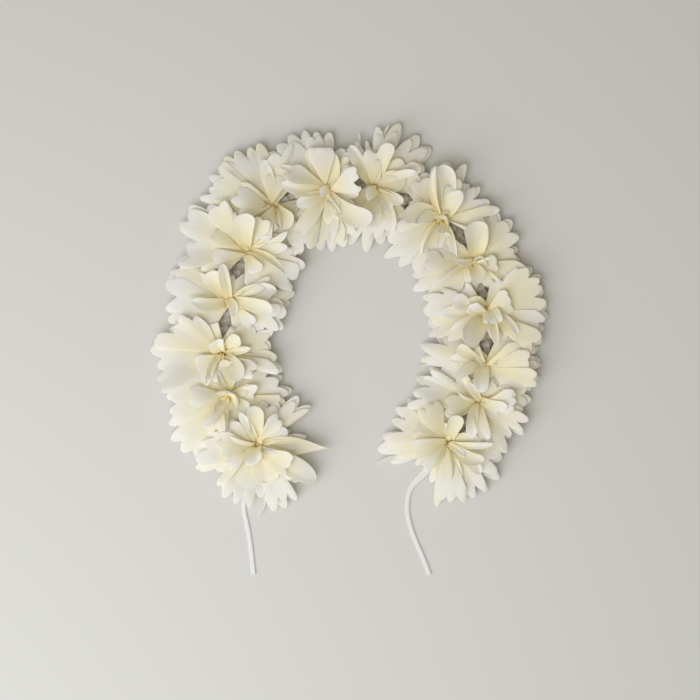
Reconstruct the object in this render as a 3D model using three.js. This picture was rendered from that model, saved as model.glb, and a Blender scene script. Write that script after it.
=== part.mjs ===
// A hair garland: cloth flowers in a row on a tape-wound stem that is bent into an arch,
// with a narrow ribbon tie at each end. It lies on its back with the flowers facing up.
// Millimetres. +X is right, +Y points to the crown of the arch, +Z is up.
// The origin is on the surface, under the middle of the flowers.

import * as THREE from 'three';
import { mergeVertices } from 'three/addons/utils/BufferGeometryUtils.js';

// The stem is a round core with its underside flattened where it lies.
const STEM_WIDTH = 5;
const STEM_SIDES = 10;
const STEM_STEPS = 44;
const STEM_TAIL = 5;

// The ties are flat ribbons that lie on the surface.
const TIE_WIDTH = 2;
const TIE_THICKNESS = 1;
const TIE_SIDES = 8;
const TIE_STEPS = 16;

// Corners of a swept piece that fall together within this distance are one corner.
const SAME_CORNER = 1e-4;

// Petal cloth, and the clearance between pieces that sit on each other.
const CLOTH = 1;
const GAP = 0.3;
const HUB_RADIUS = 3.5;
const NARROWEST_TROUGH = 1.5;
const OPEN_END_CURVE = 55;

// Where each flower sits, from the left end of the arch over the crown to the right end.
// turn is how far it is spun on the stem, in degrees. outward and inward are the lengths
// of its longest petals away from the arch and into it.
const FLOWERS = [
  { x: -42.3, y: -57.6, turn: 10, outward: 28.5, inward: 27 },
  { x: -54.0, y: -34.7, turn: 32, outward: 30.5, inward: 26 },
  { x: -57.2, y: -15.8, turn: 4, outward: 32, inward: 22 },
  { x: -54.0, y: 7.2, turn: 21, outward: 29.5, inward: 26 },
  { x: -46.8, y: 29.7, turn: 38, outward: 31, inward: 24 },
  { x: -34.2, y: 50.4, turn: 14, outward: 30, inward: 27 },
  { x: -10.8, y: 57.6, turn: 27, outward: 29, inward: 26 },
  { x: 10.4, y: 59.0, turn: 6, outward: 28.5, inward: 28 },
  { x: 41.9, y: 45.0, turn: 35, outward: 25, inward: 29 },
  { x: 55.4, y: 25.2, turn: 17, outward: 26, inward: 28 },
  { x: 60.8, y: 3.6, turn: 29, outward: 28.5, inward: 27 },
  { x: 60.8, y: -19.8, turn: 2, outward: 26, inward: 26 },
  { x: 57.6, y: -37.8, turn: 24, outward: 25, inward: 28 },
  { x: 43.7, y: -55.4, turn: 12, outward: 28, inward: 26 },
];

// The longest petals past a free end of the garland, and those pressed against a neighbour.
// A higher power narrows the range of directions that count as straight at a neighbour.
const END_REACH = 30;
const PRESSED_REACH = 18;
const STRAIGHT_AT_POWER = 4;

// The three stamped rings of cloth petals in a flower, from the stem up.
// reach is a ring's share of the longest petals, inset draws it in from the neighbours,
// rise is how high it starts above the ring under it, and lift raises or drops the tips.
const RINGS = [
  { name: 'outer', petals: 8, reach: 1, width: 9.5, inset: 0.6, rise: 0.8, lift: -3.5, turn: 0,
    columns: 2 },
  { name: 'middle', petals: 8, reach: 0.9, width: 9, inset: 2.8, rise: 1.6, lift: 5, turn: 22,
    columns: 2 },
  { name: 'inner', petals: 6, reach: 0.5, width: 8, inset: 5.2, rise: 2.4, lift: 10, turn: 8,
    columns: 3 },
];

// A petal's outline: share of its length, and share of its full width there.
const PETAL_OUTLINE = [
  { along: 0.5, width: 0.92 },
  { along: 0.82, width: 1 },
  { along: 0.98, width: 0.45 },
];
const PETAL_HOLLOW = 1.2;

// The ties' routes over the surface, from the stem's ends to the cut ends.
const TIE_ROUTES = {
  tie_left: [
    [-39.8, -62.5], [-38.8, -64.8], [-38.6, -67.2], [-39.4, -69.6], [-41.2, -72],
    [-43.4, -74.5], [-45.6, -77.2], [-47.3, -80.4], [-48.1, -84.2], [-47.8, -88],
    [-46.8, -92.4], [-45.9, -97], [-45.2, -101.6], [-44.6, -106.4], [-44.1, -111.4],
    [-43.5, -116.1],
  ],
  tie_right: [
    [40.4, -59.7], [38.6, -62], [36.6, -64.6], [34.4, -67.2], [32, -69.8], [29.8, -72.2],
    [28, -74.8], [26.7, -77.8], [26, -81.2], [25.8, -84.8], [26.1, -88.6], [26.9, -92.6],
    [28.1, -96.6], [29.8, -101], [31.8, -105.6], [33.8, -110.4], [36, -116.1],
  ],
};

const petalCloth = new THREE.MeshStandardMaterial({ color: 0xe9e4d2, roughness: 0.8, metalness: 0 });
const stemTape = new THREE.MeshStandardMaterial({ color: 0x8d8375, roughness: 0.7, metalness: 0 });
const tieRibbon = new THREE.MeshStandardMaterial({ color: 0xe6e6ea, roughness: 0.45, metalness: 0 });

const stemHeight = STEM_WIDTH * Math.cos(Math.PI / STEM_SIDES);

// A round or flattened section with one flat side under it. The path's frame has its
// first axis pointing down, so the first size is the height.
function section(height, width, sides) {
  const edgeScale = 1 / Math.cos(Math.PI / sides);
  const corners = [];
  for (let side = 0; side < sides; side += 1) {
    const angle = ((side + 0.5) * 2 * Math.PI) / sides;
    corners.push(new THREE.Vector2(
      (height / 2) * edgeScale * Math.cos(angle),
      (width / 2) * edgeScale * Math.sin(angle),
    ));
  }
  return new THREE.Shape(corners);
}

function swept(shape, route, height, steps) {
  const points = route.map(([x, y]) => new THREE.Vector3(x, y, height));
  const extrudePath = new THREE.CatmullRomCurve3(points);
  const geometry = new THREE.ExtrudeGeometry(shape, { steps, extrudePath, bevelEnabled: false });
  geometry.deleteAttribute('normal');
  geometry.deleteAttribute('uv');
  return mergeVertices(geometry, SAME_CORNER);
}

function named(name, geometry, material) {
  const mesh = new THREE.Mesh(geometry, material);
  mesh.name = name;
  return mesh;
}

function stem() {
  const places = FLOWERS.map(({ x, y }) => new THREE.Vector2(x, y));
  const tailPast = (end, inner) =>
    end.clone().sub(inner).setLength(STEM_TAIL).add(end);
  const first = tailPast(places[0], places[1]);
  const last = tailPast(places.at(-1), places.at(-2));
  const route = [first, ...places, last].map((place) => [place.x, place.y]);
  const shape = section(stemHeight, stemHeight, STEM_SIDES);
  return named('wound_stem', swept(shape, route, stemHeight / 2, STEM_STEPS), stemTape);
}

function tie(name) {
  const shape = section(TIE_THICKNESS, TIE_WIDTH, TIE_SIDES);
  return named(name, swept(shape, TIE_ROUTES[name], TIE_THICKNESS / 2, TIE_STEPS), tieRibbon);
}

// The room that a flower has towards one neighbour: up to the plane halfway between
// them, as a distance along the garland that grows or shrinks with the place across it.
function roomTowards(centre, along, across, neighbour) {
  if (!neighbour) {
    return { open: true, half: OPEN_END_CURVE, slope: 0 };
  }
  const step = new THREE.Vector2(neighbour.x, neighbour.y).sub(centre);
  const distance = step.length();
  const share = Math.abs(step.dot(along)) / distance;
  const half = distance / 2 / share;
  const slope = -step.dot(across) / distance / share;
  return { open: false, half, slope };
}

function flowerSeat(index) {
  const here = FLOWERS[index];
  const before = FLOWERS[index - 1];
  const after = FLOWERS[index + 1];
  const centre = new THREE.Vector2(here.x, here.y);
  const start = before ?? here;
  const end = after ?? here;
  const along = new THREE.Vector2(end.x - start.x, end.y - start.y).normalize();
  const across = new THREE.Vector2(-along.y, along.x);
  return {
    centre,
    heading: Math.atan2(along.y, along.x),
    turn: here.turn,
    outward: here.outward,
    inward: here.inward,
    before: roomTowards(centre, along, across, before),
    after: roomTowards(centre, along, across, after),
  };
}

// Petals are full length across the garland, and only those that point straight at a
// neighbour are cut short.
function petalLength(ring, seat, angle) {
  const room = Math.cos(angle) < 0 ? seat.before : seat.after;
  const lengthAlong = room.open ? END_REACH : PRESSED_REACH;
  const lengthAcross = Math.sin(angle) < 0 ? seat.inward : seat.outward;
  const shareAlong = Math.cos(angle) ** STRAIGHT_AT_POWER;
  return ring.reach * (lengthAlong * shareAlong + lengthAcross * (1 - shareAlong));
}

// A flat ring pressed between its neighbours: along the garland the cloth rolls up the
// round wall of a trough and then stands upright, and across it the tips rise or drop.
function pressed(ring, seat, base, along, across) {
  const room = along < 0 ? seat.before : seat.after;
  const radius = Math.max(room.half + room.slope * across - ring.inset, NARROWEST_TROUGH);
  const angle = Math.min(Math.abs(along) / radius, Math.PI / 2);
  const upright = Math.abs(along) - radius * angle;
  const tipLift = ring.lift * (across / (ring.reach * seat.outward)) ** 2;
  return new THREE.Vector3(
    Math.sign(along) * radius * Math.sin(angle),
    across,
    base + radius * (1 - Math.cos(angle)) + upright + tipLift,
  );
}

// A closed wall: the given lower face, a copy of it raised along its normals, and a rim.
function thickened(points, triangles) {
  const sheet = new THREE.BufferGeometry().setFromPoints(points);
  sheet.setIndex(triangles.flat());
  sheet.computeVertexNormals();
  const normals = sheet.getAttribute('normal');
  const raised = points.map((point, index) =>
    new THREE.Vector3().fromBufferAttribute(normals, index).multiplyScalar(CLOTH).add(point));
  const count = points.length;
  const faces = [];
  const rim = new Map();
  for (const [a, b, c] of triangles) {
    faces.push([a + count, b + count, c + count], [a, c, b]);
    for (const [from, to] of [[a, b], [b, c], [c, a]]) {
      if (!rim.delete(`${to} ${from}`)) {
        rim.set(`${from} ${to}`, [from, to]);
      }
    }
  }
  for (const [from, to] of rim.values()) {
    faces.push([from, to, to + count], [from, to + count, from + count]);
  }
  const wall = new THREE.BufferGeometry().setFromPoints([...points, ...raised]);
  wall.setIndex(faces.flat());
  return wall;
}

// One ring: a round middle with petals joined to its rim, side by side.
function ringGeometry(ring, seat, underside, base) {
  const points = [new THREE.Vector3(0, 0, underside)];
  const triangles = [];
  const add = (along, across) => points.push(pressed(ring, seat, base, along, across)) - 1;
  const pitch = (2 * Math.PI) / ring.petals;
  const start = THREE.MathUtils.degToRad(ring.turn + seat.turn);
  const gaps = ring.columns - 1;
  const rim = [];
  for (let step = 0; step < ring.petals * gaps; step += 1) {
    const angle = start + (step / gaps - 0.5) * pitch;
    rim.push(add(HUB_RADIUS * Math.cos(angle), HUB_RADIUS * Math.sin(angle)));
  }
  for (let petal = 0; petal < ring.petals; petal += 1) {
    const angle = start + petal * pitch;
    const length = petalLength(ring, seat, angle);
    const fullWidth = ring.width * Math.sqrt(length / (ring.reach * seat.outward));
    let row = [];
    for (let column = 0; column <= gaps; column += 1) {
      row.push(rim[(petal * gaps + column) % rim.length]);
    }
    for (let column = 0; column < gaps; column += 1) {
      triangles.push([0, row[column], row[column + 1]]);
    }
    for (const outline of PETAL_OUTLINE) {
      const distance = HUB_RADIUS + (length - HUB_RADIUS) * outline.along;
      const next = [];
      for (let column = 0; column <= gaps; column += 1) {
        const side = (2 * column) / gaps - 1;
        const offset = (side * fullWidth * outline.width) / 2;
        const point = add(
          distance * Math.cos(angle) - offset * Math.sin(angle),
          distance * Math.sin(angle) + offset * Math.cos(angle),
        );
        points[point].z += PETAL_HOLLOW * outline.along * (gaps > 1 ? side ** 2 : 0);
        next.push(point);
      }
      for (let column = 0; column < gaps; column += 1) {
        triangles.push([row[column], next[column], next[column + 1]]);
        triangles.push([row[column], next[column + 1], row[column + 1]]);
      }
      row = next;
    }
  }
  return thickened(points, triangles);
}

function flower(index) {
  const seat = flowerSeat(index);
  const group = new THREE.Group();
  group.position.set(seat.centre.x, seat.centre.y, 0);
  group.rotation.z = seat.heading;
  let underside = stemHeight + GAP;
  for (const ring of RINGS) {
    const name = `flower_${String(index + 1).padStart(2, '0')}_${ring.name}`;
    const geometry = ringGeometry(ring, seat, underside, underside + ring.rise);
    group.add(named(name, geometry, petalCloth));
    underside += CLOTH + GAP;
  }
  return group;
}

const garland = new THREE.Group();
garland.add(stem());
garland.add(tie('tie_left'));
garland.add(tie('tie_right'));
FLOWERS.forEach((_, index) => garland.add(flower(index)));

export default garland;
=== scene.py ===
# %% [markdown]
# # A garland of cloth flowers
#
# The garland is worn round a hair bun. Fourteen cream cloth flowers sit close together on a stem that is
# wound with grey tape and bent into an arch, and a narrow ribbon at each end ties it. Here it lies on its
# back with the flowers facing up. The imported model gives the frame, in metres.

# %% The frame
from collections import namedtuple

import bmesh
import bpy
import numpy as np
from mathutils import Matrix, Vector


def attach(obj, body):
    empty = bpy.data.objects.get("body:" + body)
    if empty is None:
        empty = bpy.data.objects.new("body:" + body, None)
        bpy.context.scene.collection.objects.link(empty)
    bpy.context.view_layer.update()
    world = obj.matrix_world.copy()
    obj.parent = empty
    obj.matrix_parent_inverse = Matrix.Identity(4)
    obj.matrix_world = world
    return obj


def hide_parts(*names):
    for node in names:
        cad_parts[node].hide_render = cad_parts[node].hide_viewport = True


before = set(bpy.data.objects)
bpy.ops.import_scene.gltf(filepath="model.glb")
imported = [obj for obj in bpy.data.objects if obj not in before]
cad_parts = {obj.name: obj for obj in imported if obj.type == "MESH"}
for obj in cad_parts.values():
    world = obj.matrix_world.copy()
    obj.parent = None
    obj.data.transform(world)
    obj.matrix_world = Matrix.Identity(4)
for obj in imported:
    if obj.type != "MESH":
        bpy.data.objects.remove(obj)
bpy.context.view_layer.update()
MM = 0.001

# %% [markdown]
# ## The camera
#
# The garland is looked at from straight above. A camera with no turn looks down its own -Z axis with +Y
# at the top of the picture, so it only has to be put in place. A long lens from a metre away keeps the
# tall petals from leaning outwards, and the lens length follows from how much of the table the picture
# takes in. The metre is counted from the level of the outer petals, so the picture's scale is true for
# them.

# %% Camera
VIEW_MIDDLE = (0.0, -0.0144)
VIEW_WIDTH = 0.315
VIEW_DISTANCE = 1.0
PETAL_LEVEL = 0.005

camera_data = bpy.data.cameras.new("camera")
camera_data.lens = camera_data.sensor_width * VIEW_DISTANCE / VIEW_WIDTH
camera = bpy.data.objects.new("camera", camera_data)
camera.location = (*VIEW_MIDDLE, PETAL_LEVEL + VIEW_DISTANCE)
bpy.context.collection.objects.link(camera)
bpy.context.scene.camera = camera
print("lens in millimetres:", round(camera_data.lens, 1))

# %% [markdown]
# ## Grids that become meshes
#
# Every piece here is a surface worked out as an array of points: rows run along it and columns across it.
# A patch keeps such a grid with what the finishes read from it: `share` is 0 at a petal's root and 1 at
# its tip, and the petal cloth paints warm shade towards the root along it; `cloth` is the place on the
# flat cloth in metres; and a tone is one number for each petal that shifts its colour a little, at random
# and, by the small petals' forms, as painted shade on some and painted light on others. A finish that
# needs less gets zeros. Several patches make one mesh, and points that fall together, as at a petal's
# tip, are merged into one.

# %% Patches and meshes
Patch = namedtuple("Patch", "points share cloth tone closed")
ATTRIBUTES = (("share", "FLOAT", "value"), ("tone", "FLOAT", "value"), ("cloth", "FLOAT_VECTOR", "vector"))
MERGE_DISTANCE = 1e-6
BROAD_FACE_WEIGHT = 100


def grid_faces(rows, columns, closed):
    """Corners of the four-sided faces between neighbouring rows and columns, seen from above."""
    row = np.arange(rows - 1)[:, None] * columns
    left = np.arange(columns if closed else columns - 1)[None, :]
    right = (left + 1) % columns
    corners = [row + left, row + columns + left, row + columns + right, row + right]
    return np.stack(np.broadcast_arrays(*corners), axis=-1).reshape(-1, 4)


def make_piece(name, patches, finish):
    """Joins patches into one smooth mesh object, with share, tone and cloth as attributes of its
    points."""
    faces = []
    first = 0
    for patch in patches:
        rows, columns = patch.points.shape[:2]
        faces.append(grid_faces(rows, columns, patch.closed) + first)
        first += rows * columns
    points = np.concatenate([patch.points.reshape(-1, 3) for patch in patches])
    mesh = bpy.data.meshes.new(name)
    mesh.from_pydata(points, [], np.concatenate(faces).tolist())
    for label, kind, field in ATTRIBUTES:
        values = np.concatenate([getattr(patch, label).ravel() for patch in patches])
        mesh.attributes.new(label, kind, "POINT").data.foreach_set(field, values.astype(np.float32))
    loose = bmesh.new()
    loose.from_mesh(mesh)
    bmesh.ops.remove_doubles(loose, verts=loose.verts, dist=MERGE_DISTANCE)
    loose.to_mesh(mesh)
    loose.free()
    mesh.shade_smooth()
    mesh.materials.append(finish)
    piece = bpy.data.objects.new(name, mesh)
    bpy.context.collection.objects.link(piece)
    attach(piece, "root")
    return piece


def thicken(piece, thickness):
    """Gives a sheet its thickness, and lets its broad faces rule the shading at its cut edge."""
    wall = piece.modifiers.new("thickness", "SOLIDIFY")
    wall.thickness = thickness
    wall.offset = 0.0
    shading = piece.modifiers.new("shading", "WEIGHTED_NORMAL")
    shading.weight = BROAD_FACE_WEIGHT


print("faces of a grid of 3 by 4 points:", len(grid_faces(3, 4, closed=False)))

# %% [markdown]
# ## Finishes as sums
#
# A finish is a small node tree. Writing it as a sum is easier to read than linking sockets by hand, so a
# `Wire` stands for a socket and each operator on it adds one Math node. `Finish.add` makes any other node
# from its type, its settings and its sockets.

# %% Finishes
PLAIN_DETAIL = 2.0


class Wire:
    """A node's output that can be added, taken away and multiplied, as a number can."""

    def __init__(self, finish, socket):
        self.finish = finish
        self.socket = socket

    def math(self, operation, first, second):
        return self.finish.add("ShaderNodeMath", {"operation": operation}, {0: first, 1: second})

    def __add__(self, other):
        return self.math("ADD", self, other)

    def __sub__(self, other):
        return self.math("SUBTRACT", self, other)

    def __rsub__(self, other):
        return self.math("SUBTRACT", other, self)

    def __mul__(self, other):
        return self.math("MULTIPLY", self, other)

    __radd__ = __add__
    __rmul__ = __mul__

    def between(self, least, most):
        """A value that goes from least to most as the wire goes from 0 to 1."""
        return least + (most - least) * self


class Finish:
    """A material that is built node by node round one Principled shader."""

    def __init__(self, name):
        self.material = bpy.data.materials.new(name)
        self.material.use_nodes = True
        self.tree = self.material.node_tree
        self.shader = self.tree.nodes["Principled BSDF"]

    def join(self, value, socket):
        """Links a wire to a socket, or sets the socket to a plain value."""
        if isinstance(value, Wire):
            self.tree.links.new(value.socket, socket)
        else:
            socket.default_value = value

    def add(self, kind, settings=None, sockets=None, output=0):
        """Adds a node: its settings first, and then its sockets."""
        node = self.tree.nodes.new(kind)
        for label, value in (settings or {}).items():
            setattr(node, label, value)
        for label, value in (sockets or {}).items():
            self.join(value, node.inputs[label])
        return Wire(self, node.outputs[output])

    def paint(self, **sockets):
        """Sets the shader's sockets, which are named with underscores."""
        for label, value in sockets.items():
            self.join(value, self.shader.inputs[label.replace("_", " ")])
        return self.material

    def ramp(self, stops, value):
        """A colour picked by a value from stops, each a place from 0 to 1 and a colour."""
        picked = self.add("ShaderNodeValToRGB", {}, {"Fac": value})
        elements = picked.socket.node.color_ramp.elements
        while len(elements) < len(stops):
            elements.new(1.0)
        for stop, (place, colour) in zip(elements, stops):
            stop.position = place
            stop.color = (*colour, 1.0)
        return picked

    def attribute(self, label, output):
        """A mesh attribute, read as its Fac or its Vector."""
        return self.add("ShaderNodeAttribute", {"attribute_name": label}, output=output)

    def stretched(self, vector, scale):
        """A vector with its three parts scaled by different amounts."""
        return self.add("ShaderNodeVectorMath", {"operation": "MULTIPLY"}, {0: vector, 1: scale})

    def noise(self, vector, detail=PLAIN_DETAIL):
        """Smooth noise from 0 to 1 with about one bump to each unit of the vector."""
        return self.add("ShaderNodeTexNoise", {}, {"Vector": vector, "Scale": 1.0, "Detail": detail})

    def bump(self, height, strength, distance):
        """A normal that is tilted by a height."""
        sockets = {"Height": height, "Strength": strength, "Distance": distance}
        return self.add("ShaderNodeBump", {}, sockets)


# %% [markdown]
# ## Floor and light
#
# The floor is a plain pale sheet. The light is soft, as in a light tent: most of it comes from a broad
# lamp above, a weaker one low on the left shapes the petals, and a weak warm surround fills the folds.
# Pale cloth passes much of it on, so light is followed for more bounces than usual.

# %% Floor and lamps
FLOOR_SIDE = 3.0
FLOOR_GREY = (0.74, 0.74, 0.735, 1.0)
FLOOR_ROUGHNESS = 0.9
LIGHT_PASSED_ON = 12
SURROUND = (1.0, 0.93, 0.74, 1.0)
SURROUND_STRENGTH = 0.30
LAMP_COLOUR = (0.97, 0.985, 1.0)
Lamp = namedtuple("Lamp", "name place side watts")
LAMPS = (
    Lamp("lamp_left", (-0.45, -0.38, 0.42), 0.5, 1.75),
    Lamp("lamp_above", (-0.20, -0.26, 1.00), 0.6, 4.6),
)

floor_mesh = bpy.data.meshes.new("floor")
corner = FLOOR_SIDE / 2
floor_corners = [(-corner, -corner, 0), (corner, -corner, 0), (corner, corner, 0), (-corner, corner, 0)]
floor_mesh.from_pydata(floor_corners, [], [(0, 1, 2, 3)])
floor = bpy.data.objects.new("floor", floor_mesh)
bpy.context.collection.objects.link(floor)
floor_paper = Finish("floor_paper").paint(Base_Color=FLOOR_GREY, Roughness=FLOOR_ROUGHNESS)
floor_mesh.materials.append(floor_paper)

world = bpy.data.worlds.new("surround")
world.use_nodes = True
background = world.node_tree.nodes["Background"]
background.inputs["Color"].default_value = SURROUND
background.inputs["Strength"].default_value = SURROUND_STRENGTH
bpy.context.scene.world = world
bpy.context.scene.view_settings.view_transform = "Standard"
bpy.context.scene.cycles.diffuse_bounces = LIGHT_PASSED_ON

for lamp in LAMPS:
    light = bpy.data.lights.new(lamp.name, "AREA")
    light.size = lamp.side
    light.energy = lamp.watts
    light.color = LAMP_COLOUR
    holder = bpy.data.objects.new(lamp.name, light)
    holder.location = lamp.place
    holder.rotation_euler = (-Vector(lamp.place)).to_track_quat("-Z", "Y").to_euler()
    bpy.context.collection.objects.link(holder)
print("lamps:", len(LAMPS))

# %% [markdown]
# ## The ribbon ties
#
# A narrow satin ribbon leaves each end of the stem, runs out from under the end flower and lies in a
# loose curve on the table, cut square. Satin is woven with long threads on its face, so it is smooth and
# has a soft shine along its length. A ribbon is a flat strip carried along a path: its middle line is a
# smooth curve through the route's points, and each cross row is a shallow arc as wide as the ribbon is
# there. The right one opens out flat where it leaves the flower and is folded lengthwise from there on.

# %% Ribbon ties
TIE_WIDTH = 2.0 * MM
TIE_THICKNESS = 0.3 * MM
TIE_LEVEL = 0.5 * MM
TIE_CROWN = 0.12
TIE_ROWS = 90
TIE_COLUMNS = 9
TIE_ROUTES = {
    "tie_left": (
        (-39.8, -62.5), (-38.8, -64.8), (-38.6, -67.2), (-39.4, -69.6), (-41.2, -72), (-43.4, -74.5),
        (-45.6, -77.2), (-47.3, -80.4), (-48.1, -84.2), (-47.8, -88), (-46.8, -92.4), (-45.9, -97),
        (-45.2, -101.6), (-44.6, -106.4), (-44.1, -111.4), (-43.5, -116.1),
    ),
    "tie_right": (
        (40.4, -59.7), (39.2, -62.3), (37.6, -65), (35.6, -67.6), (33.4, -70.2), (31, -72.5), (28.7, -75),
        (27, -77.9), (26.2, -81.2), (25.8, -84.8), (26.1, -88.6), (26.9, -92.6), (28.1, -96.6),
        (29.8, -101), (31.8, -105.6), (33.8, -110.4), (36, -116.1),
    ),
}
TIE_OPEN = {"tie_left": 1.0, "tie_right": 2.5}
TIE_FOLDED_FROM = 0.46
PATH_STEPS = 24
SATIN_THREADS = (9000.0, 500.0, 1.0)
SATIN_SHADES = ((0.3, (0.80, 0.80, 0.82)), (0.7, (0.90, 0.90, 0.92)))


def smooth_path(points, count):
    """A curve through points: between two of them it is the cubic whose slope at each is half the step
    between that point's neighbours. It is then sampled at even steps of its length."""
    padded = np.concatenate([2 * points[:1] - points[1:2], points, 2 * points[-1:] - points[-2:-1]])
    before, start, end, after = padded[:-3], padded[1:-2], padded[2:-1], padded[3:]
    share = np.linspace(0, 1, PATH_STEPS, endpoint=False)[:, None, None]
    curve = start + share * 0.5 * (end - before)
    curve = curve + share ** 2 * (before - 2.5 * start + 2 * end - 0.5 * after)
    curve = curve + share ** 3 * 0.5 * (after - before + 3 * (start - end))
    curve = np.concatenate([curve.transpose(1, 0, 2).reshape(-1, points.shape[1]), points[-1:]])
    length = np.concatenate([[0], np.cumsum(np.linalg.norm(np.diff(curve, axis=0), axis=1))])
    even = np.linspace(0, length[-1], count)
    return np.stack([np.interp(even, length, column) for column in curve.T], axis=1), even


def side_of(path):
    """The direction to the left of a path at each of its points."""
    ahead = np.gradient(path, axis=0)
    ahead /= np.linalg.norm(ahead, axis=1)[:, None]
    return np.stack([-ahead[:, 1], ahead[:, 0]], axis=1)


def ribbon(route, opened):
    """A strip along a path. A point is the path's middle plus its side times the half width, which
    narrows by a smooth step from the opened width to the folded one. Its height is the level plus the
    crown's share of the half width times one half less the square of the place across, so the middle
    stands above the edges."""
    middle, length = smooth_path(np.array(route) * MM, TIE_ROWS)
    side = side_of(middle)
    across = np.linspace(-1, 1, TIE_COLUMNS)[None, :]
    folded = np.clip(length / length[-1] / TIE_FOLDED_FROM, 0, 1)
    half = 0.5 * TIE_WIDTH * (opened + (1 - opened) * folded ** 2 * (3 - 2 * folded))[:, None]
    plan = middle[:, None] + side[:, None] * (half * across)[..., None]
    arch = TIE_LEVEL + TIE_CROWN * 0.5 * TIE_WIDTH * (0.5 - across ** 2)
    height = np.broadcast_to(arch, plan.shape[:2])
    points = np.concatenate([plan, height[..., None]], axis=2)
    cloth = np.stack(np.broadcast_arrays(half * across, length[:, None], 0.0), axis=-1)
    unread = np.zeros(height.shape)
    path = np.column_stack([middle, np.full(TIE_ROWS, TIE_LEVEL)])
    return Patch(points, unread, cloth, unread, False), path


satin = Finish("satin_ribbon")
thread = satin.attribute("cloth", "Vector")
weave = satin.noise(satin.stretched(thread, SATIN_THREADS))
satin_ribbon = satin.paint(
    Base_Color=satin.ramp(SATIN_SHADES, weave),
    Roughness=weave.between(least=0.34, most=0.46),
    Normal=satin.bump(weave, strength=0.25, distance=0.1 * MM),
)

for tie, route in TIE_ROUTES.items():
    strip, path = ribbon(route, TIE_OPEN[tie])
    piece = make_piece(f"{tie}_ribbon", [strip], satin_ribbon)
    thicken(piece, TIE_THICKNESS)
    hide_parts(tie)
    steps = np.linalg.norm(np.diff(path, axis=0), axis=1)
    print(tie, "is", round(float(steps.sum()), 4), "m long")

# %% [markdown]
# ## Where the flowers sit
#
# The flowers follow one another along the arch, from the left end over the crown to the right end.
# `outward` and `inward` say how far a flower's petals reach away from the arch and into it, `broad` how
# much of that its broad upper cloth takes, and `cut` how deep its edge is cut. A seat keeps a flower's
# middle, the direction of the arch there, and how much room it has before and behind: half way to its
# neighbour lies a plane, and a distance and a slope say how far off that plane is and how it slants. The
# end flowers have an open end on one side. Flowers and stem are worked out in millimetres, and MM turns
# their points into metres.

# %% Seats
Flower = namedtuple("Flower", "x y outward inward broad cut")
Seat = namedtuple("Seat", "number middle along across ahead behind flower")
FLOWERS = (
    Flower(-42.3, -57.6, 28.5, 27, 0.95, 0.9),
    Flower(-54.0, -34.7, 30.5, 26, 0.95, 0.7),
    Flower(-57.2, -15.8, 32, 22, 0.97, 0.5),
    Flower(-54.0, 7.2, 29.5, 26, 0.95, 0.7),
    Flower(-46.8, 29.7, 31, 24, 0.95, 0.7),
    Flower(-34.2, 50.4, 30, 27, 0.96, 0.65),
    Flower(-10.8, 57.6, 29, 26, 0.93, 0.9),
    Flower(10.4, 59.0, 28.5, 28, 0.9, 1.4),
    Flower(41.9, 45.0, 25, 29, 0.94, 0.8),
    Flower(55.4, 25.2, 26, 28, 0.95, 0.7),
    Flower(60.8, 3.6, 28.5, 27, 0.96, 0.85),
    Flower(60.8, -19.8, 26, 26, 0.95, 0.9),
    Flower(57.6, -37.8, 25, 28, 0.95, 1.0),
    Flower(43.7, -55.4, 28, 26, 0.93, 1.0),
)
OPEN_END = 55.0
middles = np.array([(flower.x, flower.y) for flower in FLOWERS])


def room(middle, neighbour, along, across):
    """How far off the plane half way to a neighbour is along the arch, and how that grows outwards."""
    if neighbour is None:
        return OPEN_END, 0.0
    step = neighbour - middle
    distance = np.linalg.norm(step)
    share = abs(step @ along) / distance
    return distance / 2 / share, -(step @ across) / distance / share


def seat_of(index):
    """A flower's middle, its direction along the arch and its room on both sides, in millimetres."""
    last = len(FLOWERS) - 1
    before = middles[index - 1] if index > 0 else None
    after = middles[index + 1] if index < last else None
    along = middles[min(index + 1, last)] - middles[max(index - 1, 0)]
    along = along / np.linalg.norm(along)
    across = np.array([-along[1], along[0]])
    ahead = room(middles[index], after, along, across)
    behind = room(middles[index], before, along, across)
    return Seat(index + 1, middles[index], along, across, ahead, behind, FLOWERS[index])


seats = [seat_of(index) for index in range(len(FLOWERS))]
print("flowers:", len(seats))

# %% [markdown]
# ## The wound stem
#
# The core of the garland is wrapped with crinkled grey tape that is twisted as it is pulled tight. So it
# is not round: it has a few flat folds that wind round it, and narrow waists where a wrap bites in. It is
# a profile carried along a path: a polygon that turns as it goes and shrinks at each waist, with a small
# step where one wrap of the tape overlaps the next. The underside is flattened where it lies on the
# table.

# %% Wound stem
STEM_TAIL = 5.0
STEM_ROWS = 520
STEM_COLUMNS = 40
STEM_LEVEL = 2.4
STEM_RADIUS = 3.0
STEM_FOLDS = 5
TWIST_PITCH = 31.0
WAIST_PITCH = 7.3
WAIST_DEPTH = 0.55
WAIST_SHARPNESS = 8
WRAP_PITCH = 3.7
WRAP_STEP = 0.45
CRINKLE = 0.10
CRINKLES_ROUND = 7
CRINKLE_PITCH = 2.1
CRINKLE_WANDER = 3.0
CREPE_SCALE = (1100.0, 1100.0, 1100.0)
CREPE_DETAIL = 4.0
STAIN_SCALE = (260.0, 260.0, 260.0)
CREPE_SHARE = 0.4
STAIN_SHARE = 0.3
# How much painted shade darkens the tape at the foot of each wrap's step; the ramp's darkest stops carry
# it.
WRAP_STEP_SHADE_SHARE = 0.4
TAPE_GREYS_AND_SHADE = ((0.15, (0.13, 0.11, 0.09)), (0.35, (0.42, 0.38, 0.32)), (0.75, (0.66, 0.62, 0.56)))


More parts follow.
